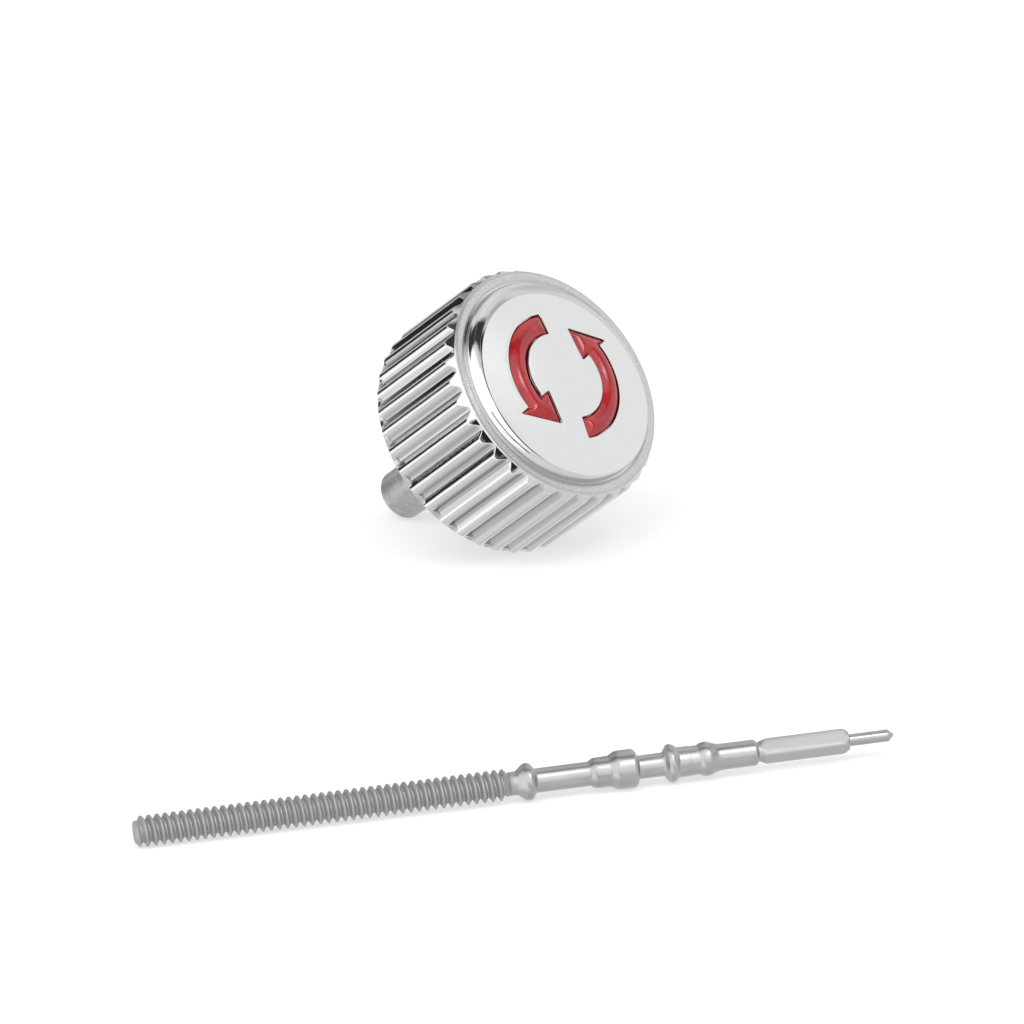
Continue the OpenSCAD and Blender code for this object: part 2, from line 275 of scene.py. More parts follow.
class Marks(Graph):
    """A material graph that knows where a point is on its own piece, in millimetres."""

    def __init__(self, name):
        self.material = bpy.data.materials.new(name)
        self.material.use_nodes = True
        super().__init__(self.material.node_tree)
        self.at = self.node("Attribute", attribute_name="at").outputs["Vector"]
        x, y, self.z = self.node("SeparateXYZ", {0: self.at}).outputs
        self.radius = self.maths("SQRT", self.maths("ADD", self.times(x, x), self.times(y, y)))

    def stretched(self, around, along):
        """The place scaled across and along the axis: a small scale draws the marks out that way."""
        scales = (around, around, along)
        return self.node("VectorMath", {0: self.at, 1: scales}, operation="MULTIPLY").outputs[0]

    def rings(self, scale):
        """A place that depends on radius and height alone, for marks turned around the axis."""
        joined = self.node("CombineXYZ", {0: self.radius, 1: self.z}).outputs[0]
        return self.node("VectorMath", {0: joined, "Scale": scale}, operation="SCALE").outputs[0]

    def finish(self, colour, roughness, heights, **constants):
        """Ends the graph: heights are (height, distance in mm) pairs for a chain of bumps."""
        normal = None
        for height, distance in heights:
            bump = self.node("Bump", {"Height": height, "Distance": distance * MM, "Strength": 1.0})
            if normal:
                self.put(bump.inputs["Normal"], normal)
            normal = bump.outputs[0]
        shader = self.node("BsdfPrincipled", {"Base Color": colour, "Roughness": roughness, "Normal": normal})
        for name, value in constants.items():
            shader.inputs[name.replace("_", " ")].default_value = value
        out = self.node("OutputMaterial")
        self.put(out.inputs["Surface"], shader.outputs[0])
        return self.material


def polished_steel():
    """Mirror-polished steel: satin on the ring, with painted shade in the flutes, and draw marks along them.
    """
    g = Marks("polished_steel")
    wave = g.noise(g.at, 1.3, 1.0)
    hair = g.noise(g.stretched(9.0, 1.4), 1.6, 4.0, 0.7)
    streak = g.noise(g.stretched(8.0, 0.3), 2.4, 4.0, 0.7)
    grain = g.noise(g.at, 24.0, 2.0)
    pepper = g.noise(g.at, 21.0, 3.0, 0.7)
    below_chamfer = g.ramp(g.z, SKIRT_H + 0.2, SKIRT_H)
    on_side = g.times(g.ramp(g.radius, CAP_R - 0.24, CAP_R - 0.18), below_chamfer)
    on_crest = g.times(on_side, g.ramp(g.radius, CAP_R - 0.022, CAP_R - 0.006))
    # painted shade: the steel's colour darkens down into the flutes' hollows
    flute_shade = g.times(on_side, g.ramp(g.radius, CAP_R - 0.04, CAP_R - 0.12))
    above_chamfer = g.ramp(g.z, RING_Z + 0.002, RING_Z + 0.012)
    on_ring = g.times(g.ramp(g.radius, FOOT_R + 0.01, FOOT_R + 0.04), above_chamfer)
    dull = g.maths("ADD", g.times(on_crest, 0.08), g.times(on_ring, 0.3))
    rough = g.maths("ADD", g.ramp(hair, 0.35, 0.75, 0.03, 0.06), dull)
    side_marks = g.times(streak, on_side)
    dull_marks = g.times(grain, dull)
    tint = g.blend(g.ramp(streak, 0.3, 0.7), (0.585, 0.588, 0.592, 1), (0.63, 0.632, 0.635, 1))
    # the darker colour in the flutes is painted shade, not a different metal
    tint = g.blend(flute_shade, tint, (0.43, 0.433, 0.437, 1))
    satin = g.blend(g.ramp(pepper, 0.3, 0.62), (0.45, 0.452, 0.455, 1), (0.57, 0.572, 0.575, 1))
    tint = g.blend(on_ring, tint, satin)
    return g.finish(tint, rough, [(wave, 0.0008), (side_marks, 0.0028), (dull_marks, 0.004)], Metallic=1.0)


def turned_steel():
    """Fine-turned steel, with rings around the axis."""
    g = Marks("turned_steel")
    ring = g.noise(g.rings(22.0), 1.0, 3.0, 0.6)
    blotch = g.noise(g.at, 2.1, 3.0)
    tint = g.blend(g.ramp(blotch, 0.35, 0.65), (0.5, 0.504, 0.51, 1), (0.6, 0.604, 0.608, 1))
    return g.finish(tint, g.ramp(ring, 0.3, 0.7, 0.18, 0.3), [(ring, 0.0015)], Metallic=1.0)


def satin_steel():
    """Grey satin steel with soft mottling, as on the post."""
    g = Marks("satin_steel")
    ring = g.noise(g.rings(16.0), 1.0, 4.0, 0.65)
    cloud = g.noise(g.stretched(1.4, 0.9), 1.2, 3.0, 0.55)
    speck = g.noise(g.stretched(9.0, 14.0), 1.0, 3.0, 0.6)
    grain = g.noise(g.at, 26.0, 2.0)
    mottle = g.mix(0.45, g.ramp(cloud, 0.36, 0.64), g.ramp(speck, 0.34, 0.66))
    tint = g.blend(mottle, (0.3, 0.302, 0.305, 1), (0.46, 0.463, 0.466, 1))
    rough = g.ramp(speck, 0.3, 0.7, 0.32, 0.44)
    return g.finish(tint, rough, [(ring, 0.0018), (grain, 0.0015)], Metallic=1.0)


def stem_steel():
    """Turned carbon steel: a greyer thread, lathe rings on the body and a dull ground square."""
    g = Marks("stem_steel")
    ring = g.noise(g.rings(19.0), 1.0, 3.0, 0.6)
    blotch = g.noise(g.stretched(1.6, 0.8), 1.3, 4.0, 0.6)
    fine = g.noise(g.at, 14.0, 3.0)
    on_thread = g.ramp(g.z, THREAD_L + 0.3, THREAD_L)
    past_journal = g.ramp(g.z, SQUARE_Z + 0.06, SQUARE_Z + 0.16)
    on_square = g.times(past_journal, g.ramp(g.z, PILOT_Z - 0.11, PILOT_Z - 0.01, 1.0, 0.0))
    body = g.blend(g.ramp(blotch, 0.33, 0.67), (0.38, 0.38, 0.383, 1), (0.44, 0.44, 0.442, 1))
    tint = g.blend(on_thread, body, g.blend(fine, (0.37, 0.371, 0.375, 1), (0.47, 0.47, 0.473, 1)))
    tint = g.blend(on_square, tint, (0.5, 0.5, 0.503, 1))
    dull = g.maths("ADD", g.times(on_square, 0.22), g.times(on_thread, 0.3))
    rough = g.maths("ADD", g.ramp(blotch, 0.3, 0.7, 0.31, 0.39), dull)
    mottled = g.times(fine, on_square)
    return g.finish(tint, rough, [(ring, 0.0008), (fine, 0.0008), (mottled, 0.004)], Metallic=1.0)


def spring_steel():
    """Bright drawn steel of the spring and of the thin washers."""
    g = Marks("spring_steel")
    drawn = g.noise(g.at, 11.0, 3.0)
    tint = g.blend(drawn, (0.4, 0.408, 0.43, 1), (0.52, 0.528, 0.545, 1))
    return g.finish(tint, g.ramp(drawn, 0.3, 0.7, 0.16, 0.28), [(drawn, 0.0008)], Metallic=1.0)


def red_enamel():
    """Glossy fired enamel, deeper in its middle, with faint pooling."""
    g = Marks("red_enamel")
    pool = g.noise(g.at, 1.7, 3.0)
    speck = g.noise(g.at, 19.0, 3.0)
    deep = g.blend(g.ramp(pool, 0.35, 0.65), (0.24, 0.006, 0.01, 1), (0.32, 0.012, 0.017, 1))
    tint = g.blend(g.ramp(speck, 0.62, 0.8, 0.0, 0.3), deep, (0.45, 0.03, 0.035, 1))
    return g.finish(
        tint, g.ramp(speck, 0.3, 0.7, 0.12, 0.2), [(pool, 0.004), (speck, 0.0007)],
        Specular_IOR_Level=0.5, IOR=1.5,
    )


def black_rubber():
    """Nitrile rubber with a dull bloom."""
    g = Marks("black_rubber")
    bloom = g.noise(g.at, 3.0, 4.0)
    grain = g.noise(g.at, 34.0, 2.0)
    tint = g.blend(g.ramp(bloom, 0.35, 0.7), (0.012, 0.012, 0.013, 1), (0.032, 0.032, 0.034, 1))
    return g.finish(tint, g.ramp(bloom, 0.3, 0.7, 0.45, 0.65), [(grain, 0.003)])


MATERIALS = {
    make.__name__: make()
    for make in (
        polished_steel, turned_steel, satin_steel, stem_steel, spring_steel, red_enamel, black_rubber
    )
}


# Meshes

def build(name, verts, faces, place, finish, body, nodes, crease=38):
    """Makes a piece from its mesh in millimetres, gives it its finish, ties it to its body and hides the CAD
    nodes it stands in for.
    """
    mesh = bpy.data.meshes.new(name)
    shape = bmesh.new()
    made = [shape.verts.new(v) for v in verts]
    for face in faces:
        shape.faces.new([made[i] for i in face])
    bmesh.ops.remove_doubles(shape, verts=shape.verts, dist=WELD)
    bmesh.ops.dissolve_degenerate(shape, edges=shape.edges, dist=WELD / 4)
    bmesh.ops.recalc_face_normals(shape, faces=shape.faces)
    shape.to_mesh(mesh)
    shape.free()
    at = mesh.attributes.new("at", "FLOAT_VECTOR", "POINT")
    places = [0.0] * (3 * len(mesh.vertices))
    mesh.vertices.foreach_get("co", places)
    at.data.foreach_set("vector", places)
    mesh.transform(place)
    mesh.shade_smooth()
    mesh.set_sharp_from_angle(angle=radians(crease))
    mesh.materials.append(MATERIALS[finish])
    piece = bpy.data.objects.new(name, mesh)
    bpy.context.scene.collection.objects.link(piece)
    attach(piece, body)
    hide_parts(*nodes)
    return piece


def rounded(corners, steps=4):
    """Points of a line through corners (x, y, cut), each corner rounded off over the length cut."""
    most_of_side = 0.48
    points = []
    for i, (x, y, cut) in enumerate(corners):
        here = Vector((x, y))
        if not cut or i in (0, len(corners) - 1):
            points.append((x, y))
            continue
        back = Vector(corners[i - 1][:2]) - here
        ahead = Vector(corners[i + 1][:2]) - here
        reach = min(cut, most_of_side * back.length, most_of_side * ahead.length)
        first = here + back.normalized() * reach
        last = here + ahead.normalized() * reach
        for k in range(steps + 1):
            t = k / steps
            point = first * (1 - t) ** 2 + here * (2 * t * (1 - t)) + last * t**2
            points.append((point.x, point.y))
    return points


def even_angles(count):
    """Angles of a full turn in even steps."""
    return [2 * pi * k / count for k in range(count)]


def grid(rows):
    """Vertices and faces between rows of points, each row a closed loop."""
    verts = [v for row in rows for v in row]
    n = len(rows[0])
    faces = [
        (i * n + k, i * n + (k + 1) % n, (i + 1) * n + (k + 1) % n, (i + 1) * n + k)
        for i in range(len(rows) - 1)
        for k in range(n)
    ]
    return verts, faces


def turn(profile, angles):
    """Rows of a turned form: profile points are (radius, z), and a radius may be a function of the angle."""
    rows = []
    for r, z in profile:
        radii = [r(a) if callable(r) else r for a in angles]
        rows.append([(q * cos(a), q * sin(a), z) for q, a in zip(radii, angles)])
    return rows


def turn_columns(columns, angles):
    """Rows of a turned form whose outline changes with the angle: a column of (radius, z) for each."""
    return [[(r * cos(a), r * sin(a), z) for (r, z), a in zip(row, angles)] for row in zip(*columns)]


def on_dome(points, drop=0.0):
    """Points (x, y) put on the face's dome, or a drop below it."""
    return [(x, y, dome(x, y) - drop) for x, y in points]


def at_height(points, z):
    """Points (x, y) put at the height z."""
    return [(x, y, z) for x, y in points]


def join(*parts):
    """One list of vertices and faces from several."""
    verts, faces = [], []
    for more_verts, more_faces in parts:
        start = len(verts)
        verts += more_verts
        faces += [tuple(start + i for i in face) for face in more_faces]
    return verts, faces


def prism_radius(width, sides, turned, corner_r=inf):
    """Radius of a bar with flat sides, as a function of the angle, its corners clipped to corner_r."""
    def radius(angle):
        off = (angle - turned + pi / sides) % (2 * pi / sides) - pi / sides
        return min(width / 2 / cos(off), corner_r)
    return radius


def faded(r, plain_r, left, run):
    """Radius r of a thread that fades to plain_r over its last run; left is the way to its end."""
    return plain_r + (r - plain_r) * min(1.0, max(0.0, left / run))


def thread(z0, z1, pitch, root_r, crest_r, angles, limit):
    """Rows of a right-hand thread between z0 and z1, with limit(radius, z) trimming its ends.

    Each row climbs one pitch around the axis, so crests and roots are rows of their own.
    """
    # shares of the pitch and of the height, from the root over the crest and back
    shape = ((0.0, 0.0), (0.1, 0.06), (0.4, 0.94), (0.5, 1.0), (0.6, 0.94), (0.9, 0.06))
    per_turn = len(shape)
    # turns past either end are flattened onto it, and welding takes them away
    turns = int((z1 - z0) / pitch) + 3
    n = len(angles)
    rows = []
    for k in range(turns * per_turn):
        share, height = shape[k % per_turn]
        start = z0 + (k // per_turn - 1 + share) * pitch
        row = []
        for a in angles:
            z = min(max(start + pitch * a / (2 * pi), z0), z1)
            r = limit(root_r + (crest_r - root_r) * height, z)
            row.append((r * cos(a), r * sin(a), z))
        rows.append(row)
    faces = []
    for i in range(len(rows) - 1):
        for k in range(n - 1):
            faces.append((i * n + k, i * n + k + 1, (i + 1) * n + k + 1, (i + 1) * n + k))
        # a row's end meets the start of the row one turn on
        if i + 1 + per_turn < len(rows):
            low, high = (i + per_turn) * n, (i + 1 + per_turn) * n
            faces.append((i * n + n - 1, low, high, (i + 1) * n + n - 1))
    return [v for row in rows for v in row], faces


def flat_fill(outline, holes, spacing, margin):
    """Points and triangles that fill an outline around its holes, with an even net of points inside."""
    loops = [outline] + holes
    points, edges = [], []
    for loop in loops:
        start = len(points)
        points += [Vector(p) for p in loop]
        edges += [(start + k, start + (k + 1) % len(loop)) for k in range(len(loop))]

    def filled(p):
        """Whether a point is inside the outline and outside its holes."""
        return inside(p, outline) and not any(inside(p, hole) for hole in holes)

    low_x, high_x = min(p[0] for p in outline), max(p[0] for p in outline)
    low_y, high_y = min(p[1] for p in outline), max(p[1] for p in outline)
    row_gap = spacing * sqrt(3) / 2
    for j in range(int((high_y - low_y) / row_gap) + 2):
        for i in range(int((high_x - low_x) / spacing) + 2):
            p = (low_x + (i + 0.5 * (j % 2)) * spacing, low_y + j * row_gap)
            if filled(p) and min(edge_distance(p, loop) for loop in loops) > margin:
                points.append(Vector(p))
    closest = 1e-7
    net = delaunay_2d_cdt(points, edges, [], 0, closest)
    found, triangles = net[0], net[2]
    kept = []
    for triangle in triangles:
        centre = sum((found[i] for i in triangle), Vector((0, 0))) / 3
        if filled(centre):
            kept.append(tuple(triangle))
    return [tuple(p) for p in found], kept


def inside(p, loop):
    """Whether a point is inside a closed outline."""
    x, y = p[0], p[1]
    hit = False
    for k, (x0, y0) in enumerate(loop):
        x1, y1 = loop[k - 1]
        if (y0 > y) != (y1 > y) and x < (x1 - x0) * (y - y0) / (y1 - y0) + x0:
            hit = not hit
    return hit


def edge_distance(p, loop):
    """Distance of a point from a closed outline."""
    best = inf
    for k, (x0, y0) in enumerate(loop):
        x1, y1 = loop[k - 1]
        dx, dy = x1 - x0, y1 - y0
        length = dx * dx + dy * dy
        t = 0 if length == 0 else min(1, max(0, ((p[0] - x0) * dx + (p[1] - y0) * dy) / length))
        best = min(best, hypot(p[0] - x0 - t * dx, p[1] - y0 - t * dy))
    return best


def offset(loop, distance):
    """A closed outline moved outward by distance; the loop runs anticlockwise."""
    # at a sharp corner the point moves no further than distance / sharpest
    sharpest = 0.35
    moved = []
    for k, here in enumerate(loop):
        before = Vector(loop[k - 1])
        after = Vector(loop[(k + 1) % len(loop)])
        here = Vector(here)
        first = (here - before).normalized()
        last = (after - here).normalized()
        normal = Vector((first.y + last.y, -first.x - last.x))
        normal.normalize()
        lean_in = max(sharpest, normal.x * first.y - normal.y * first.x)
        moved.append(tuple(here + normal * (distance / lean_in)))
    return moved


def dome(x, y):
    """Height of the face's shallow dome."""
    return DOME_Z + sqrt(DOME_R**2 - x * x - y * y)


# Fluted cap

def flute_columns():
    """(angle, radius) across one flute, from the middle of a crest to just before that of the next."""
    half = pi * CAP_R / FLUTE_COUNT
    flank_end = half - ROOT_HALF_W
    fillet = 0.03
    fillet_start, fillet_end = flank_end - fillet, flank_end + fillet / 2
    crest_steps = 8
    stops = [CREST_HALF_W * k / crest_steps for k in range(crest_steps + 1)]
    stops += [fillet_start, flank_end - fillet / 2, flank_end, fillet_end, half]

    def slope(across):
        """Tilt of the surface at a distance from the middle of the crest."""
        if across < CREST_HALF_W:
            return CREST_TILT * across / CREST_HALF_W
        into = min(1.0, max(0.0, (across - fillet_start) / (fillet_end - fillet_start)))
        return FLANK_TILT * (1 - into)

    line = [(0.0, CAP_R)]
    for before, after in zip(stops, stops[1:]):
        drop = tan(slope((before + after) / 2)) * (after - before)
        line.append((after, line[-1][1] - drop))
    one_side = [((across - half) / CAP_R, r) for across, r in line]
    return one_side[:-1] + [(-angle, r) for angle, r in one_side[:0:-1]]


def cap_angles():
    """Angles of the fluted skirt's columns, and the flute's radius at each."""
    angles, radii = [], []
    for i in range(FLUTE_COUNT):
        middle = (i + 0.5) * 2 * pi / FLUTE_COUNT
        for angle, r in flute_columns():
            angles.append(middle + angle)
            radii.append(r)
    return angles, radii


def skirt_rows():
    """Rows of the fluted skirt, from the rear face to the outer edge of the flat ring."""
    angles, radii = cap_angles()
    web_r = CAP_R - WEB_INSET
    # the flutes are deeper than the ring's edge, so they run out just before it
    run_out_r = RING_R + 0.012
    columns = []
    for r in radii:
        rim = max(web_r, r)
        end = max(run_out_r, r)
        chamfer_z = SKIRT_H + (CAP_R - end) * CHAMFER_H / CHAMFER_W
        corners = [
            (REAR_R, 0, 0), (web_r, 0, 0.02), (rim, rim - web_r, 0.02), (rim, WEB_T, 0.012),
            (r, WEB_T, 0.012), (r, chamfer_z - 0.12, 0.03), (end, chamfer_z, 0.03), (RING_R, RING_Z, 0),
        ]
        columns.append(rounded(corners, steps=6))
    return turn_columns(columns, angles), angles


def ring_line():
    """Points over the flat ring, from the chamfer to the foot of the cushion."""
    top = RING_Z + RING_RISE
    edge_w = 0.1
    lip = 0.02
    return rounded(
        [
            (RING_R, RING_Z, 0), (RING_R - lip, RING_Z + lip, 0.015), (RING_R - edge_w, top, 0.06),
            (FOOT_R + edge_w, top - 0.008, 0.08), (FOOT_R + 0.03, top - 0.03, 0.03),
            (FOOT_R + 0.008, FOOT_Z, 0.01), (FOOT_R, FOOT_Z, 0),
        ],
        steps=5,
    )


def face_edge(angle):
    """Radius of the polished face's edge, which hand finishing has left off centre and out of round."""
    shift = FACE_SHIFT[0] * cos(angle) + FACE_SHIFT[1] * sin(angle)
    oval = FACE_OVAL[0] * cos(2 * angle) + FACE_OVAL[1] * sin(2 * angle)
    return FACE_EDGE_R + shift + oval


def cushion_line(angle):
    """Points from the cushion's foot over its curved shoulder and a little way onto the face."""
    # 0 is the face's edge, 2 is the foot, and 1 is where the tangents at the two meet
    r0, r2 = face_edge(angle), FOOT_R
    z0, z2 = dome(r0, 0), FOOT_Z
    top_slope, foot_slope = tan(SHOULDER_TOP_TILT), tan(SHOULDER_FOOT_TILT)
    run = (z0 - z2 - (r2 - r0) * top_slope) / (foot_slope - top_slope)
    r1, z1 = r2 - run, z2 + run * foot_slope
    points = []
    for k in range(SHOULDER_STEPS + 1):
        t = k / SHOULDER_STEPS
        top, middle, foot = t * t, 2 * t * (1 - t), (1 - t) ** 2
        points.append((r0 * top + r1 * middle + r2 * foot, z0 * top + z1 * middle + z2 * foot))
    for inward in (0.004, 0.15):
        points.append((r0 - inward, dome(r0 - inward, 0)))
    return points


def bore_line():
    """Points of the cap's stepped bore, from the rear face to the seat of the core tube."""
    mouth = 0.13
    return rounded(
        [
            (REAR_R, 0, 0), (SLEEVE_R + mouth, 0, 0.01), (SLEEVE_R, mouth, 0.01),
            (SLEEVE_R, CEILING_Z, 0.02), (TUBE_R + 0.03, CEILING_Z, 0.01), (TUBE_R, CEILING_Z + 0.02, 0),
            (TUBE_R, SEAT_Z, 0.02), (0, SEAT_Z, 0),
        ],
        steps=2,
    )


def seam(fine, coarse):
    """Vertices and faces between a row of the skirt and a row with one point for every few of its own."""
    n = len(fine)
    faces = []
    for k in range(0, n, COARSE):
        here = n + k // COARSE
        after = n + (k // COARSE + 1) % (n // COARSE)
        faces.append(tuple((k + j) % n for j in range(COARSE + 1)) + (after, here))
    return fine + coarse, faces


def arrow_loop(turned):
    """Outline of one curved arrow, anticlockwise, with lightly rounded corners."""
    r_in = ARROW_CIRCLE_R - ARROW_BAND_W / 2
    r_out = ARROW_CIRCLE_R + ARROW_BAND_W / 2
    head_in = ARROW_CIRCLE_R - ARROW_HEAD_W / 2
    head_out = ARROW_CIRCLE_R + ARROW_HEAD_W / 2
    tip = ARROW_SWEEP + ARROW_HEAD_SWEEP
    steps = 30
    corners = [(r_in, 0, 0.03), (r_out, 0, 0.03)]
    corners += [(r_out, ARROW_SWEEP * k / steps, 0) for k in range(1, steps)]
    corners += [
        (r_out, ARROW_SWEEP, 0.02), (head_out, ARROW_SWEEP, 0.04),
        (ARROW_CIRCLE_R, tip, 0.04), (head_in, ARROW_SWEEP, 0.04), (r_in, ARROW_SWEEP, 0.02),
    ]
    corners += [(r_in, ARROW_SWEEP * k / steps, 0) for k in range(steps - 1, 0, -1)]
    start = ARROW_START + turned
    flat = [(r * cos(a + start), r * sin(a + start), cut) for r, a, cut in corners]
    # the first corner is rounded too, so the line is closed before rounding
    closed = rounded([flat[-1]] + flat + [flat[0]], steps=3)
    return closed[1:-1]


def recess(loop):
    """The recess of one arrow: rounded mouth, upright wall and flat floor."""
    # the mouth's rounding, as (distance out of the recess, drop below the face)
    rounding = ((MOUTH_W, 0), (0.007, 0.006), (0, 0.022))
    rings = [on_dome(offset(loop, out), drop) for out, drop in rounding] + [at_height(loop, RECESS_Z)]
    floor_points, floor_faces = flat_fill(loop, [], spacing=0.3, margin=0.1)
    return join(grid(rings), (at_height(floor_points, RECESS_Z), floor_faces))


def fluted_cap():
    """The head in one piece: fluted skirt, ring, cushion, face with two recesses, and stepped bore."""
    rows, angles = skirt_rows()
    coarse_angles = angles[::COARSE]
    front = turn(ring_line(), coarse_angles)
    # the cushion starts on the ring's last row
    front += turn_columns([cushion_line(a) for a in coarse_angles], coarse_angles)[1:]
    # the rear face's fine columns end on a strip that turns back to the bore's first row
    strip = turn([(REAR_SEAM_R, 0), (REAR_R, 0)], coarse_angles)
    loops = [arrow_loop(0), arrow_loop(pi)]
    mouths = [offset(loop, MOUTH_W) for loop in loops]
    rim = [(x, y) for x, y, z in front[-1]]
    face, triangles = flat_fill(rim, mouths, spacing=0.15, margin=0.05)
    verts, faces = join(
        grid(rows), grid(front), seam(rows[-1], front[0]), (on_dome(face), triangles),
        *[recess(loop) for loop in loops],
        seam(rows[0], strip[0]), grid(strip), grid(turn(bore_line(), coarse_angles)),
    )
    build("fluted_cap_polished", verts, faces, ON_CROWN, "polished_steel", "head", ["fluted_cap"], crease=17)


def enamel_arrow(name, node, turned):
    """A pillow of enamel that stands a little proud of the face and dips at its edge."""
    room = 0.02
    edge_drop = 0.06
    crown = 0.1
    roll = 0.3
    loop = offset(arrow_loop(turned), -room)
    points, triangles = flat_fill(loop, [], spacing=0.045, margin=0.012)
    top = []
    for x, y in points:
        from_edge = min(1.0, edge_distance((x, y), loop) / roll)
        swell = 1 - (1 - from_edge) ** 2
        top.append((x, y, dome(x, y) - edge_drop + (edge_drop + crown) * swell))
    side = grid([on_dome(loop, edge_drop), at_height(loop, RECESS_Z)])
    base, base_faces = flat_fill(loop, [], spacing=0.3, margin=0.1)
    verts, faces = join((top, triangles), side, (at_height(base, RECESS_Z), base_faces))
    build(name, verts, faces, ON_CROWN, "red_enamel", "head", [node], crease=60)


# Inside the crown

def threaded_sleeve():
    """The pressed-in ring whose inside thread screws onto the case tube."""
    angles = even_angles(96)
    top = GASKET_WASHER_Z
    mouth_w = 0.2
    mouth_h = 0.24
    outside = rounded(
        [
            (SLEEVE_BORE_R + mouth_w, SLEEVE_INSET, 0), (SLEEVE_R, SLEEVE_INSET, 0.03),
            (SLEEVE_R, top, 0.03), (SLEEVE_BORE_R, top, 0),
        ]
    )

    def limit(r, z):
        """Keeps the thread outside its cone-shaped mouth and lets it run out before the washer."""
        mouth = SLEEVE_BORE_R + mouth_w * (1 - (z - SLEEVE_INSET) / mouth_h)
        return max(faded(r, SLEEVE_BORE_R, top - z, 0.18), mouth)

    root_r = SLEEVE_BORE_R + SLEEVE_THREAD_H
    inside_thread = thread(SLEEVE_INSET, top, SLEEVE_PITCH, root_r, SLEEVE_BORE_R, angles, limit)
    verts, faces = join(grid(turn(outside, angles)), inside_thread)
    build("threaded_sleeve_cut", verts, faces, ON_CROWN, "turned_steel", "head", ["threaded_sleeve"])


def core_tube():
    """The middle tube, with a hexagonal bore for the post's head and a groove for the sealing ring."""
    hexagon = prism_radius(HEX_W, 6, HEX_TURN)
    low, high = SEAL_Z - SEAL_R - SEAL_ROOM, SEAL_Z + SEAL_R + SEAL_ROOM
    past_corners = 1.2
    outside = rounded(
        [
            (BUSH_R, TUBE_INSET, 0), (TUBE_R, TUBE_INSET, 0.08), (TUBE_R, low, 0.02), (GROOVE_R, low, 0.03),
            (GROOVE_R, high, 0.03), (TUBE_R, high, 0.02), (TUBE_R, SEAT_Z, 0.02), (past_corners, SEAT_Z, 0),
        ]
    )
    profile = outside + [
        (hexagon, SEAT_Z), (hexagon, BUSH_TOP + 0.02), (hexagon, BUSH_TOP), (BUSH_R, BUSH_TOP),
        (BUSH_R, TUBE_INSET),
    ]
    verts, faces = grid(turn(profile, even_angles(72)))
    build("core_tube_turned", verts, faces, ON_CROWN, "turned_steel", "head", ["core_tube"])


def ring(name, node, finish, body, r_in, r_out, z0, z1, edge):
    """A flat ring with rounded edges."""
    corners = [
        (r_in, (z0 + z1) / 2, 0), (r_in, z1, edge), (r_out, z1, edge), (r_out, z0, edge), (r_in, z0, edge),
        (r_in, (z0 + z1) / 2, 0),
    ]
    verts, faces = grid(turn(rounded(corners), even_angles(96)))
    build(name, verts, faces, ON_CROWN, finish, body, [node])


def tube_seal_ring():
    """The round sealing ring in the core tube's groove."""
    middle = GROOVE_R + SEAL_R
    section = [(middle + SEAL_R * cos(a), SEAL_Z + SEAL_R * sin(a)) for a in even_angles(24)]
    verts, faces = grid(turn(section + section[:1], even_angles(96)))
    build("tube_seal_ring_moulded", verts, faces, ON_CROWN, "black_rubber", "head", ["tube_seal_ring"])


def return_spring():
    """Round wire, flat for half a turn at each end."""
    steps, sides = 40, 12
    end_share = 0.55
    z0, z1 = WASHER_TOP + WIRE_R, SEAT_Z - WIRE_R
    count = COIL_TURNS * steps
    rows = []
    for i in range(count + 1):
        turns = i / steps
        rise = min(1.0, max(0.0, (turns - 0.5) / (COIL_TURNS - 1)))
        centre_z = z0 + (z1 - z0) * rise
        a = 2 * pi * turns
        # the wire's two ends are rounded off
        r_wire = WIRE_R * (end_share if i in (0, count) else 1.0)
        row = []
        for s in even_angles(sides):
            r = COIL_R + r_wire * cos(s)
            row.append((r * cos(a), r * sin(a), centre_z + r_wire * sin(s)))
        rows.append(row)
    verts, faces = grid(rows)
    faces.append(tuple(range(sides)))
    faces.append(tuple(count * sides + k for k in reversed(range(sides))))
    spring = build(
        "return_spring_wound", verts, faces, ON_CROWN, "spring_steel", "head", ["return_spring"]
    )
    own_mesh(spring)


def stem_post():
    """The sliding post, with a hexagonal head, a boss for the spring and a tapped bore for the stem."""
    angles = even_angles(72)
    bore_end = -POST_OUT + TAP_DEPTH
    head_w = HEX_W - 2 * HEX_CLEARANCE
    hexagon = prism_radius(head_w, 6, HEX_TURN, 1.05)
    hexagon_edge = prism_radius(head_w, 6, HEX_TURN, 0.98)
    boss_top = WASHER_TOP + BOSS_H
    head_edge = 0.05
    boss_edge = 0.03
    outside = rounded(
        [
            (TAP_R + TAP_SINK, -POST_OUT, 0), (POST_R, -POST_OUT, 0.045), (POST_R, BUSH_TOP, 0.02),
            (POST_R + 0.06, BUSH_TOP, 0),
        ]
    )
    outside += [
        (hexagon_edge, BUSH_TOP), (hexagon, BUSH_TOP + head_edge), (hexagon, HEAD_TOP - head_edge),
        (hexagon_edge, HEAD_TOP), (BOSS_R + 0.08, HEAD_TOP), (BOSS_R, HEAD_TOP),
        (BOSS_R, boss_top - boss_edge), (BOSS_R - boss_edge, boss_top), (0, boss_top),
    ]

    def limit(r, z):
        """Keeps the thread outside its countersink and lets it run out before the bore's end."""
        return max(faded(r, TAP_R, bore_end - z, 0.2), TAP_R + TAP_SINK - (z + POST_OUT) * 0.8)

    bore = thread(-POST_OUT, bore_end, STEM_PITCH, TAP_R + TAP_THREAD_H, TAP_R, angles, limit)
    drilled_end = grid(turn([(TAP_R, bore_end), (0.3, bore_end + 0.05), (0, bore_end + 0.16)], angles))
    verts, faces = join(grid(turn(outside, angles)), bore, drilled_end)
    build("stem_post_satin", verts, faces, ON_CROWN, "satin_steel", "post", ["stem_post"])


# Winding stem

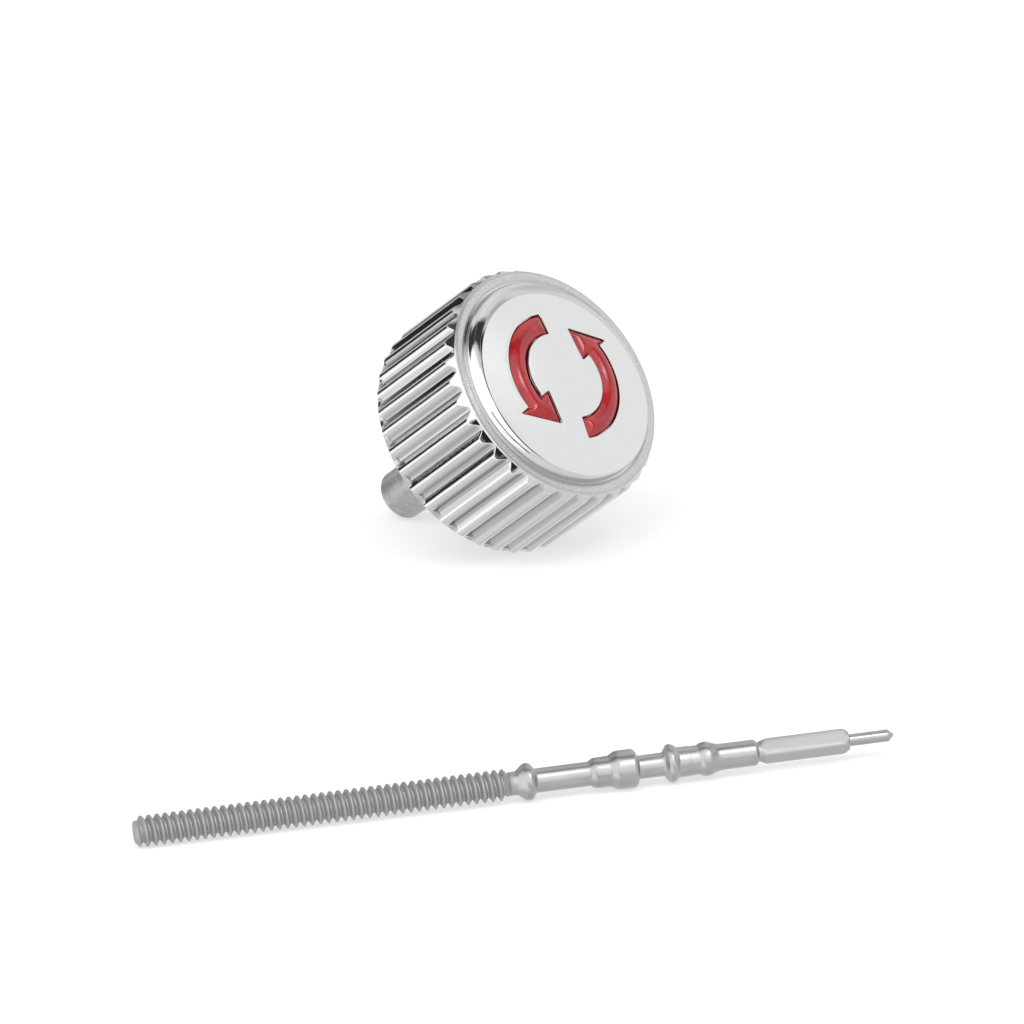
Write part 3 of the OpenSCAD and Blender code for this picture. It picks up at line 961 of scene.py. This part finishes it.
def body_line():
    """Points of the stem's turned body, from the end of its thread to its square."""
    flat_r = SQUARE_W / 2
    return rounded(
        [
            (THREAD_ROOT_R, THREAD_L, 0), (RELIEF_R, THREAD_L + 0.02, 0.01), (RELIEF_R, BULB_Z - 0.03, 0.05),
            (BULB_R - 0.005, BULB_Z + 0.19, 0.1), (BULB_R + 0.005, BULB_Z + 0.35, 0.08),
            (SHANK_R + 0.015, SHANK_Z + 0.04, 0.05), (SHANK_R, SHANK_Z + 0.07, 0.02),
            (SHANK_R, STEP_Z - 0.04, 0.03), (STEP_R - 0.005, STEP_Z + 0.1, 0.05),
            (STEP_R, COLLAR_Z - 0.06, 0.03), (COLLAR_R - 0.005, COLLAR_Z + 0.12, 0.06),
            (COLLAR_R, NECK_Z - 0.07, 0.07), (NECK_R + 0.08, NECK_Z + 0.01, 0.04),
            (NECK_R, NECK_Z + 0.02, 0.03), (NECK_R, FLANGE_Z - 0.05, 0.04),
            (COLLAR_R - 0.03, FLANGE_Z + 0.07, 0.05), (COLLAR_R, FLANGE_Z + 0.15, 0.05),
            (COLLAR_R - 0.03, SLOT_Z - 0.08, 0.05), (SLOT_R + 0.015, SLOT_Z + 0.01, 0.03),
            (SLOT_R + 0.015, SLOT_Z + 0.32, 0.01), (SLOT_R + 0.007, SLOT_Z + 0.325, 0.01),
            (SLOT_R + 0.003, BULGE_Z, 0.03), (BULGE_R - 0.01, BULGE_Z + 0.12, 0.06),
            (BULGE_R, BULGE_Z + 0.28, 0.1), (JOURNAL_R + 0.015, JOURNAL_Z + 0.06, 0.1),
            (JOURNAL_R, JOURNAL_Z + 0.3, 0.1), (JOURNAL_R, SQUARE_Z - 0.11, 0.04),
            (flat_r + 0.005, SQUARE_Z - 0.04, 0.02), (flat_r + 0.003, SQUARE_Z, 0),
        ]
    )


def square_line():
    """Points of the stem's square, whose corners are clipped closer at both ends."""
    clip = 0.352
    clips = (
        (SQUARE_Z + 0.01, 0.27), (SQUARE_Z + 0.06, 0.29), (SQUARE_Z + 0.19, clip),
        (PILOT_Z - 0.15, clip), (PILOT_Z - 0.09, 0.32), (PILOT_Z - 0.02, 0.27),
    )
    return [(prism_radius(SQUARE_W, 4, SQUARE_TURN, corner), z) for z, corner in clips]


def winding_stem():
    """The stem: thread, turned body, square and pilot."""
    angles = even_angles(72)
    start_r = 0.29

    def limit(r, z):
        """Chamfers the thread's start and lets it run out before the relief."""
        return min(faded(r, THREAD_ROOT_R, THREAD_L - z, 0.14), start_r + z * 1.05)

    screw = thread(0, THREAD_L, STEM_PITCH, THREAD_ROOT_R, THREAD_R, angles, limit)
    end = grid(turn([(0, 0), (0.2, 0), (start_r - 0.012, 0.004), (start_r, 0)], angles))
    pilot = rounded(
        [
            (0.24, PILOT_Z, 0), (PILOT_R, PILOT_Z + 0.005, 0.02), (PILOT_R, STEM_L - 0.15, 0.03),
            (0.02, STEM_L, 0.01), (0, STEM_L, 0),
        ]
    )
    verts, faces = join(screw, end, grid(turn(body_line() + square_line() + pilot, angles)))
    build("winding_stem_cut", verts, faces, ON_STEM, "stem_steel", "stem", ["winding_stem"])


fluted_cap()
enamel_arrow("enamel_arrow_upper_fired", "enamel_arrow_upper", 0)
enamel_arrow("enamel_arrow_lower_fired", "enamel_arrow_lower", pi)
threaded_sleeve()
core_tube()
tube_seal_ring()
ring(
    "flat_gasket_moulded", "flat_gasket", "black_rubber", "head",
    TUBE_R + GASKET_ROOM, SLEEVE_R - GASKET_ROOM, GASKET_Z, CEILING_Z, 0.04,
)
ring(
    "gasket_washer_stamped", "gasket_washer", "spring_steel", "head",
    TUBE_R + GASKET_ROOM, SLEEVE_R - GASKET_ROOM, GASKET_WASHER_Z, GASKET_Z, 0.015,
)
ring(
    "retaining_bush_turned", "retaining_bush", "turned_steel", "head",
    POST_R + POST_CLEARANCE, BUSH_R, TUBE_INSET, BUSH_TOP, 0.03,
)
ring(
    "thrust_washer_stamped", "thrust_washer", "spring_steel", "post",
    BOSS_R + WASHER_ROOM, WASHER_R, HEAD_TOP, WASHER_TOP, 0.02,
)
return_spring()
stem_post()
winding_stem()


# Studio

def floor():
    """A plain pale floor."""
    reach = 0.6
    corners = [(-reach, -reach, 0), (reach, -reach, 0), (reach, reach, 0), (-reach, reach, 0)]
    mesh = bpy.data.meshes.new("floor")
    mesh.from_pydata(corners, [], [(0, 1, 2, 3)])
    material = bpy.data.materials.new("floor")
    material.use_nodes = True
    g = Graph(material.node_tree)
    grey = 0.42
    lit = g.node("BsdfDiffuse", {"Color": (grey, grey, grey, 1)})
    # a little light of its own keeps the shadows as faint as a light table does
    glow = g.node("Emission", {"Color": (1, 1, 1, 1), "Strength": 0.56})
    both = g.node("AddShader", {0: lit.outputs[0], 1: glow.outputs[0]})
    out = g.node("OutputMaterial")
    g.put(out.inputs["Surface"], both.outputs[0])
    mesh.materials.append(material)
    plane = bpy.data.objects.new("floor", mesh)
    # the steel mirrors the surroundings' own lower half instead
    plane.visible_glossy = False
    bpy.context.scene.collection.objects.link(plane)


# Panels of the studio's surroundings, painted one over the other. Each has the azimuth and elevation of
# its two ends, half its width and its softness, all in degrees, and its brightness. Where both ends are
# the same, the panel is a disc.
PANELS = (
    ((175, -2), (-178, -22), 16, 7, 1.7),
    ((60, -60), (80, -80), 14, 8, 1.3),
    ((-30, -85), (-30, -85), 26, 8, 0.85),
    ((20, -62), (20, -62), 12, 6, 1.0),
    ((-122, 4), (-122, 82), 56, 6, 1.7),
    ((-122, -46), (-122, -24), 40, 10, 1.1),
    ((-104, -12), (-165, -10), 17, 4, 1.7),
    ((46, 58), (66, 62), 16, 8, 1.17),
    ((40, 40), (74, -16), 6, 4, 0.8),
    ((80, 10), (108, 10), 20, 6, 0.36),
    ((84, 34), (112, 44), 9, 5, 0.42),
    ((124, 10), (158, 1), 6, 2.5, 0.03),
    ((122, 30), (148, 30), 10, 5, 0.3),
    ((153, 30), (180, 30), 11, 4, 1.6),
    ((126, 54), (152, 50), 8, 4, 0.08),
    ((-62, 48), (-56, 60), 9, 5, 9.0),
    ((-126, 18), (-94, -20), 4.5, 1.5, 0.03),
    ((-4, 57), (60, 84), 8.5, 3, 0.06),
    ((60, 84), (166, 45), 10, 3, 0.06),
    ((22, 44), (8, 52), 5, 4, 0.62),
    ((1, 53), (-12, 50), 6, 2, 0.04),
    ((-31, 38), (-25, 26), 19, 5, 0.45),
    ((-10, 48), (-23, 41), 7, 2, 0.04),
    ((-27, 42), (-24, 26), 15, 2, 0.03),
    ((4, 29), (4, 29), 17, 1.5, 1.24),
    ((-5, 40), (-5, 40), 5, 7, 1.44),
)
BASE_LEVEL = 1.0


def pointing(az, el):
    """Unit vector towards an azimuth and an elevation in degrees."""
    az, el = radians(az), radians(el)
    return Vector((cos(el) * cos(az), cos(el) * sin(az), sin(el)))


def panel_mask(g, direction, start, end, half_width, soft):
    """Where a direction falls on a panel that runs along the great circle from start to end."""
    first, last = pointing(*start), pointing(*end)
    middle = (first + last).normalized()
    across = first.cross(last).normalized()
    along = across.cross(middle)
    edge = radians(soft)
    reach = radians(half_width)

    def toward(axis):
        """Share of the direction along an axis."""
        return g.node("VectorMath", {0: direction, 1: axis}, operation="DOT_PRODUCT").outputs["Value"]

    if start == end:
        return g.ramp(g.maths("ARCCOSINE", toward(middle)), reach - edge, reach + edge, 1.0, 0.0)
    ahead = g.maths("ABSOLUTE", g.maths("ARCTAN2", toward(along), toward(middle)))
    aside = g.maths("ABSOLUTE", g.maths("ARCSINE", toward(across)))
    half_length = first.angle(last) / 2
    return g.times(
        g.ramp(ahead, half_length - edge, half_length + edge, 1.0, 0.0),
        g.ramp(aside, reach - edge, reach + edge, 1.0, 0.0),
    )


def surroundings():
    """Soft light all round, with the dark and bright panels that polished steel shows."""
    world = bpy.data.worlds.new("studio")
    bpy.context.scene.world = world
    world.use_nodes = True
    g = Graph(world.node_tree)
    direction = g.node("TexCoord").outputs["Generated"]
    level = BASE_LEVEL
    for start, end, half_width, soft, bright in PANELS:
        mask = panel_mask(g, direction, start, end, half_width, soft)
        level = g.mix(mask, level, bright)
    # the camera itself sees a plain white backdrop
    seen = g.node("LightPath").outputs["Is Camera Ray"]
    light = g.node("Background", {"Color": (1, 1, 1, 1), "Strength": g.mix(seen, level, 1.0)})
    out = g.node("OutputWorld")
    g.put(out.inputs["Surface"], light.outputs[0])


def lamp(name, place, aim, size, watts):
    """A soft lamp that brightens the floor and the enamel but isn't mirrored by the steel."""
    light = bpy.data.lights.new(name, "AREA")
    light.size = size
    light.energy = watts
    holder = bpy.data.objects.new(name, light)
    holder.location = place
    holder.rotation_euler = (Vector(aim) - Vector(place)).to_track_quat("-Z", "Y").to_euler()
    holder.visible_glossy = False
    bpy.context.scene.collection.objects.link(holder)


# The photograph's viewpoint: a long lens, turned a few degrees about its own axis. The place is in
# millimetres, and its azimuth and elevation, seen from the part, are in degrees.
CAMERA_PLACE = (-86.25, -457.30, 166.44)
CAMERA_AZIMUTH = -101.0
CAMERA_ELEVATION = 19.23
CAMERA_ROLL = radians(3.1)
FOCAL_PIXELS = 18000
PHOTO_PIXELS = 1024
SENSOR_W = 36.0


def camera():
    """The camera, where the photograph's stood."""
    forward = -pointing(CAMERA_AZIMUTH, CAMERA_ELEVATION)
    right = forward.cross(Vector((0, 0, 1))).normalized()
    up = right.cross(forward)
    side = right * cos(CAMERA_ROLL) - up * sin(CAMERA_ROLL)
    top = right * sin(CAMERA_ROLL) + up * cos(CAMERA_ROLL)
    lens = bpy.data.cameras.new("camera")
    lens.sensor_width = SENSOR_W
    lens.lens = FOCAL_PIXELS / PHOTO_PIXELS * SENSOR_W
    lens.clip_start = 0.01
    lens.clip_end = 10.0
    holder = bpy.data.objects.new("camera", lens)
    turned = Matrix((side, top, -forward)).transposed().to_4x4()
    holder.matrix_world = Matrix.Translation(Vector(CAMERA_PLACE) * MM) @ turned
    bpy.context.scene.collection.objects.link(holder)
    bpy.context.scene.camera = holder


floor()
surroundings()
lamp("key", place=(-0.12, -0.1, 0.3), aim=(0, 0, 0), size=0.25, watts=0.35)
camera()
bpy.context.scene.view_settings.view_transform = "Standard"
